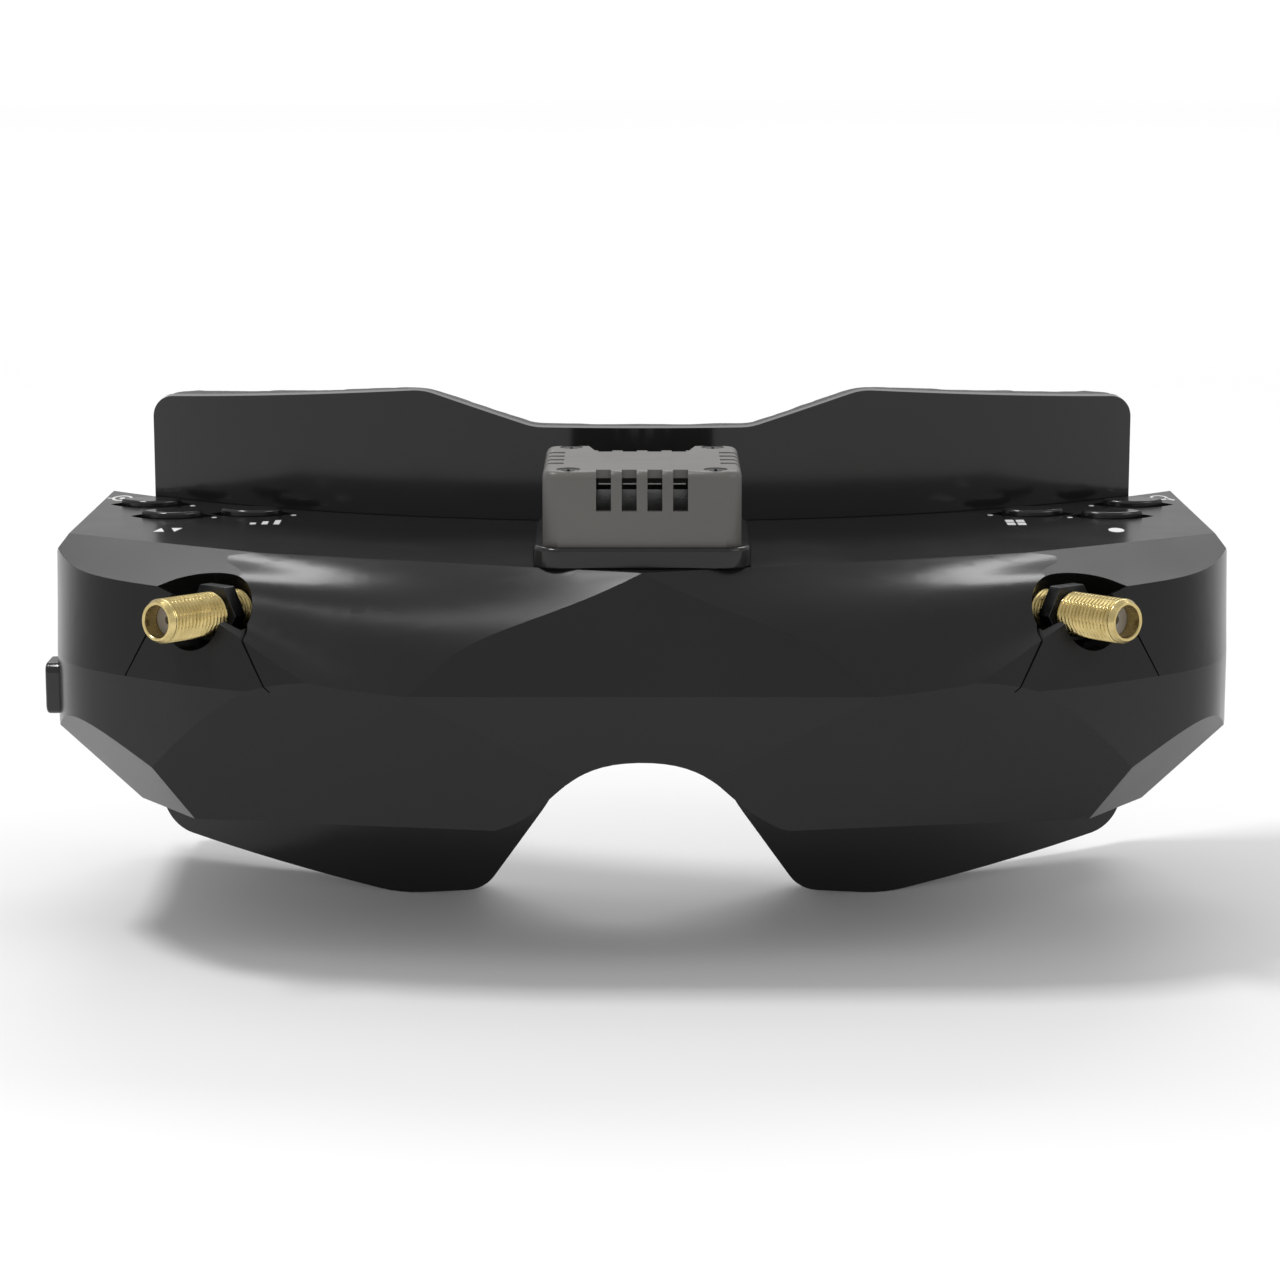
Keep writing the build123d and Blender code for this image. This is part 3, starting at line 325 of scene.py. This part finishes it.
def antenna_jack(side):
    """A threaded barrel with a chamfered mouth, its bore and the hexagon behind the web."""
    mount = MOUNTS[f"antenna_{side}"]
    free = mount["dims"]["length_mm"] * MM
    major = mount["dims"]["r_mm"] * MM
    axis = Vector(mount["axis"])
    place = Matrix.Translation(Vector(mount["pos_m"])) @ axis.to_track_quat("Z", "X").to_matrix().to_4x4()
    tip = free / 2 + 0.3 * MM
    seat = -free / 2 - 5.9 * MM

    def thread(along, turn):
        phase = (along / THREAD_PITCH - turn / (2 * math.pi)) % 1
        ridge = abs(2 * phase - 1)
        groove = THREAD_DEPTH * min(max(1.25 * ridge - 0.12, 0), 1)
        mouth = 2.72 * MM + (tip - along) * 0.62
        start = min(max((tip - 0.8 * MM - along) / (0.5 * MM), 0), 1)
        return min(major - groove * start, mouth)

    form = bmesh.new()
    step = THREAD_PITCH / 9
    rows = int((tip - seat) / step)
    outer = [ring(form, place, thread, seat + (tip - seat) * row / rows) for row in range(rows + 1)]
    bore = []
    for along, radius in ((tip, BORE + 0.12 * MM), (tip - 0.12 * MM, BORE), (tip - 8.9 * MM, BORE)):
        bore.append(ring(form, place, lambda a, t, r=radius: r, along))
    ring_rows(form, outer + bore)
    form.faces.new(bore[-1])
    form.faces.new(outer[0])
    flange = bmesh.ops.create_cone(
        form, cap_ends=True, segments=6, radius1=4.6 * MM, radius2=4.6 * MM, depth=2 * MM,
        matrix=place @ Matrix.Translation((0, 0, seat - 1.02 * MM)),
    )
    edges = {edge for vertex in flange["verts"] for edge in vertex.link_edges}
    bmesh.ops.bevel(form, geom=list(edges), offset=0.2 * MM, segments=2, affect="EDGES")
    piece = new_piece(f"threaded_jack_{side}", form, BRASS)
    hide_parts(f"antenna_jack_{side}")


antenna_jack("left")
antenna_jack("right")


# ---- the foam pad ---------------------------------------------------------------------------------------
def foam_pad():
    """The face pad, softened from its CAD form: rounded rims and a slightly uneven skin."""
    pad = bpy.data.objects.new("foam_pad", NODES["face_foam"].data.copy())
    bpy.context.scene.collection.objects.link(pad)
    weld = pad.modifiers.new("weld", "WELD")
    weld.merge_threshold = 0.000005
    remesh = pad.modifiers.new("remesh", "REMESH")
    remesh.mode = "VOXEL"
    remesh.voxel_size = 1.0 * MM
    remesh.use_smooth_shade = True
    smooth = pad.modifiers.new("soften", "SMOOTH")
    smooth.factor = 0.6
    smooth.iterations = 9
    graph = bpy.context.evaluated_depsgraph_get()
    mesh = bpy.data.meshes.new_from_object(pad.evaluated_get(graph))
    pad.modifiers.clear()
    pad.data = mesh
    mesh.materials.clear()
    mesh.materials.append(FOAM)
    dents = bpy.data.textures.new("foam_dents", "CLOUDS")
    dents.noise_scale = 0.009
    uneven = pad.modifiers.new("uneven", "DISPLACE")
    uneven.texture = dents
    uneven.strength = 0.25 * MM
    uneven.mid_level = 0.6
    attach(pad, "housing")
    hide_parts("face_foam")


foam_pad()


# ---- printed markings ---------------------------------------------------------------------------------------
INK_DEPTH = 0.03 * MM


def prism(form, outline, place):
    """A thin raised shape from a flat outline in millimetres."""
    low = [form.verts.new(place @ Vector((x * MM, y * MM, 0))) for x, y in outline]
    high = [form.verts.new(place @ Vector((x * MM, y * MM, INK_DEPTH))) for x, y in outline]
    form.faces.new(high)
    for index in range(len(outline)):
        after = (index + 1) % len(outline)
        form.faces.new((low[index], low[after], high[after], high[index]))


def disc(radius, x=0.0, y=0.0, points=24):
    spots = [2 * math.pi * index / points for index in range(points)]
    return [(x + radius * math.cos(turn), y + radius * math.sin(turn)) for turn in spots]


def arc_pieces(radius, width, start=0.0, end=360.0, x=0.0, y=0.0, points=28):
    """A ring, or part of one, as short four-sided pieces."""
    pieces = []
    for index in range(points):
        turns = [math.radians(start + (end - start) * (index + extra) / points) for extra in (0, 1)]
        near = [(x + radius * math.cos(t), y + radius * math.sin(t)) for t in turns]
        far = [(x + (radius + width) * math.cos(t), y + (radius + width) * math.sin(t)) for t in turns]
        pieces.append([near[0], far[0], far[1], near[1]])
    return pieces


def bar(x0, y0, x1, y1):
    return [(x0, y0), (x1, y0), (x1, y1), (x0, y1)]


def marking(name, outlines, place, body):
    form = bmesh.new()
    for outline in outlines:
        prism(form, outline, place)
    piece = new_piece(name, form, INK, body)
    piece.data.shade_flat()


TOP_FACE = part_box("upper_shell")[1].z
ICONS = {
    "track": arc_pieces(1.3, 0.5) + [disc(0.5), bar(-2.6, -0.2, -1.8, 0.2), bar(1.8, -0.2, 2.6, 0.2)],
    "channel": [[(-2.2, -1), (-0.4, -1), (-1.3, 1.2)], [(0.4, 1.2), (2.2, 1.2), (1.3, -1)]],
    "band": [bar(-3, -1.2, -2, -0.2), bar(-1, -1.2, 0, 0.6), bar(1, -1.2, 2, 1.4)],
    "search": arc_pieces(1.1, 0.45, x=-0.4, y=0.4) + [[(0.5, -0.2), (0.9, 0.2), (2.1, -1.2), (1.7, -1.6)]],
    "record": [disc(1.3)],
    "mode": [bar(-1.6, -1.6, -0.2, -0.2), bar(0.2, -1.6, 1.6, -0.2), bar(-1.6, 0.2, -0.2, 1.6),
             bar(0.2, 0.2, 1.6, 1.6)],
}
ICON_STRETCH = 1.5  # drawn long from front to back, so that it reads at a low angle
for icon, key, sideways, forwards in (
    ("track", "track_button", 5.5, 6.2), ("channel", "channel_rocker", -1.0, -13.5),
    ("band", "band_rocker", -3.4, -8.5), ("search", "search_button", -5.5, 6.2),
    ("record", "record_button", 1.0, -13.5), ("mode", "mode_rocker", 3.4, -8.5),
):
    low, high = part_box(key)
    middle = (low + high) / 2
    outward = -1 if middle.x < 0 else 1
    spot = Vector((middle.x - sideways * MM, middle.y + forwards * MM, TOP_FACE))
    place = Matrix.Translation(spot) @ Matrix.Diagonal((0.9, ICON_STRETCH, 1, 1))
    marking(f"{icon}_marking", ICONS[icon], place, "housing")
    dot = Vector((middle.x - outward * 6.6 * MM, middle.y - 1.5 * MM, TOP_FACE))
    marking(f"{icon}_dot", [disc(0.42)], Matrix.Translation(dot), "housing")

POWER_LOW, POWER_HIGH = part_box("power_button")
power_middle = (POWER_LOW + POWER_HIGH) / 2
facing_out = Matrix(((0, 0, -1, POWER_LOW.x), (-1, 0, 0, power_middle.y), (0, 1, 0, power_middle.z), (0, 0, 0, 1)))
marking(
    "power_marking", arc_pieces(1.35, 0.35, 130, 410) + [bar(-0.18, 0.5, 0.18, 2.0)], facing_out, "power_cap"
)

# ---- floor, lights and camera -------------------------------------------------------------------------
def stage_floor():
    mesh = bpy.data.meshes.new("floor")
    grid = bmesh.new()
    bmesh.ops.create_grid(grid, x_segments=4, y_segments=4, size=20)
    grid.to_mesh(mesh)
    grid.free()
    floor = bpy.data.objects.new("floor", mesh)
    bpy.context.scene.collection.objects.link(floor)
    floor.location.z = CAD_BOX[0][2] - 0.0001
    shader = Shader("floor_paper")
    shader.colours(shader.noise(0.8, 2), grey(0.79), grey(0.81))
    away = shader.node("ShaderNodeVectorMath", operation="LENGTH")
    shader.link(shader.place, away.inputs[0])
    glow = shader.spread(away.outputs["Value"], 0.06, 0.62, 0.7, 3.5)
    shader.link(glow, shader.surface.inputs["Emission Strength"])
    shader.fixed(Roughness=0.9)
    shader.surface.inputs["Emission Color"].default_value = (1, 1, 1, 1)
    mesh.materials.append(shader.material)


def softbox(name, place, target, size, power):
    light = bpy.data.lights.new(name, "AREA")
    light.shape = "RECTANGLE"
    light.size, light.size_y = size
    light.energy = power
    lamp = bpy.data.objects.new(name, light)
    lamp.location = place
    lamp.rotation_euler = (Vector(target) - Vector(place)).to_track_quat("-Z", "Y").to_euler()
    bpy.context.scene.collection.objects.link(lamp)
    return lamp


def sky(level):
    world = bpy.data.worlds.new("studio")
    world.use_nodes = True
    world.node_tree.nodes["Background"].inputs["Color"].default_value = (1, 1, 1, 1)
    world.node_tree.nodes["Background"].inputs["Strength"].default_value = level
    bpy.context.scene.world = world


stage_floor()
sky(0.6)
MIDDLE = (0, 0, 0.045)
softbox("key_light", (-0.46, -0.10, 1.1), MIDDLE, (0.26, 0.18), 6)
softbox("fill_light", (1.6, -1.0, 1.3), MIDDLE, (1.0, 1.0), 8)
softbox("back_light", (0.2, 1.6, 1.5), MIDDLE, (1.6, 0.6), 14)

LENS, SENSOR = 102.7, 36.0
view = bpy.data.cameras.new("camera")
view.lens = LENS
view.sensor_width = SENSOR
view.shift_x = -0.0016
camera = bpy.data.objects.new("camera", view)
front_low = Vector((0, CAD_BOX[0][1], CAD_BOX[0][2]))
camera.location = front_low + Vector((0, -0.4971, 0.1484))
camera.rotation_euler = (math.radians(90 - 11), 0, 0)
bpy.context.scene.collection.objects.link(camera)
bpy.context.scene.camera = camera
bpy.context.scene.view_settings.view_transform = "Standard"
